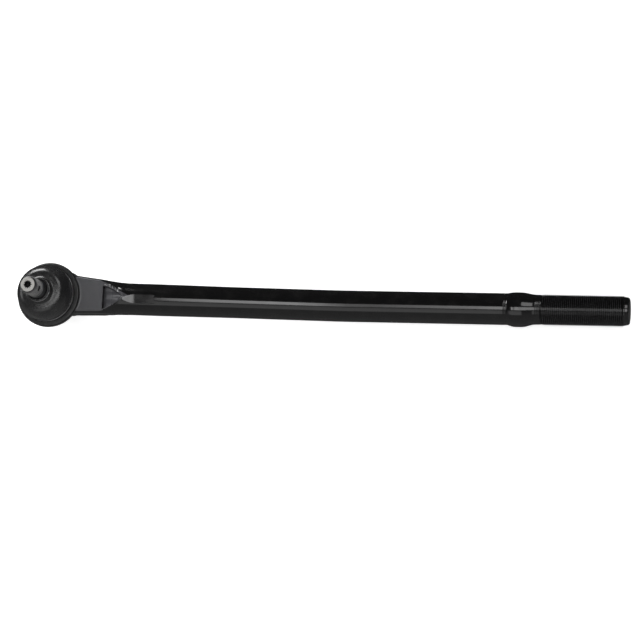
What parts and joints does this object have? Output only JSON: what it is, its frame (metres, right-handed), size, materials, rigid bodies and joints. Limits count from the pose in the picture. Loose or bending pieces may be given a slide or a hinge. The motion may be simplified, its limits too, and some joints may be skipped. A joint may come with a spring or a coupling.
{
  "type": "tie rod end",
  "caption": "Steering tie rod end: a long forged rod with an external thread on its shank and a sealed ball joint whose tapered stud tilts and turns.",
  "frame": {"origin": "centre of the ball", "axes": "+Z along the stud towards its tip; +X parallel to the shank thread's axis, towards the threaded end"},
  "size_m": [0.491, 0.052, 0.092],
  "materials": {
    "rod_paint": "semi-gloss black paint over forged steel",
    "bearing_polymer": "smooth natural acetal",
    "seat_polymer": "smooth natural acetal",
    "spring_steel": "blued spring steel",
    "plate_zinc": "zinc-plated pressed steel",
    "seal_rubber": "smooth black rubber",
    "stud_steel": "phosphated steel, bright on the end face",
    "boot_rubber": "matt moulded rubber",
    "clip_steel": "dark spring wire",
    "ring_steel": "spring wire",
    "nipple_zinc": "zinc-plated, yellow passivated",
    "check_steel": "polished bearing steel",
    "nipple_spring_steel": "fine spring wire"
  },
  "bodies": {
    "rod": {"rod_forging": "rod_paint", "lower_seat": "seat_polymer", "disc_spring": "spring_steel", "cover_plate": "plate_zinc", "cover_seal": "seal_rubber", "boot_base_clip": "clip_steel", "nipple_body": "nipple_zinc", "nipple_spring": "nipple_spring_steel"},
    "swivel": {"upper_bearing": "bearing_polymer", "dust_boot": "boot_rubber"},
    "boot_neck": {"boot_neck_ring": "ring_steel"},
    "stud": {"ball_stud": "stud_steel"},
    "check_valve": {"nipple_check_ball": "check_steel"}
  },
  "joints": [
    {"name": "stud_swing", "type": "hinge", "parent": "rod", "child": "swivel", "pos_m": [0, 0, 0], "axis": [0, 0, 1], "continuous": true},
    {"name": "stud_tilt", "type": "hinge", "parent": "swivel", "child": "boot_neck", "pos_m": [0, 0, 0], "axis": [0, 1, 0], "range_deg": [-25, 25], "deforming": ["dust_boot"]},
    {"name": "stud_spin", "type": "hinge", "parent": "boot_neck", "child": "stud", "pos_m": [0, 0, 0], "axis": [0, 0, 1], "continuous": true},
    {"name": "check_valve_slide", "type": "slide", "parent": "rod", "child": "check_valve", "axis": [0, 0, 1], "range_m": [0, 0.0008], "stiffness_N_per_m": 150, "deforming": ["nipple_spring"]}
  ]
}
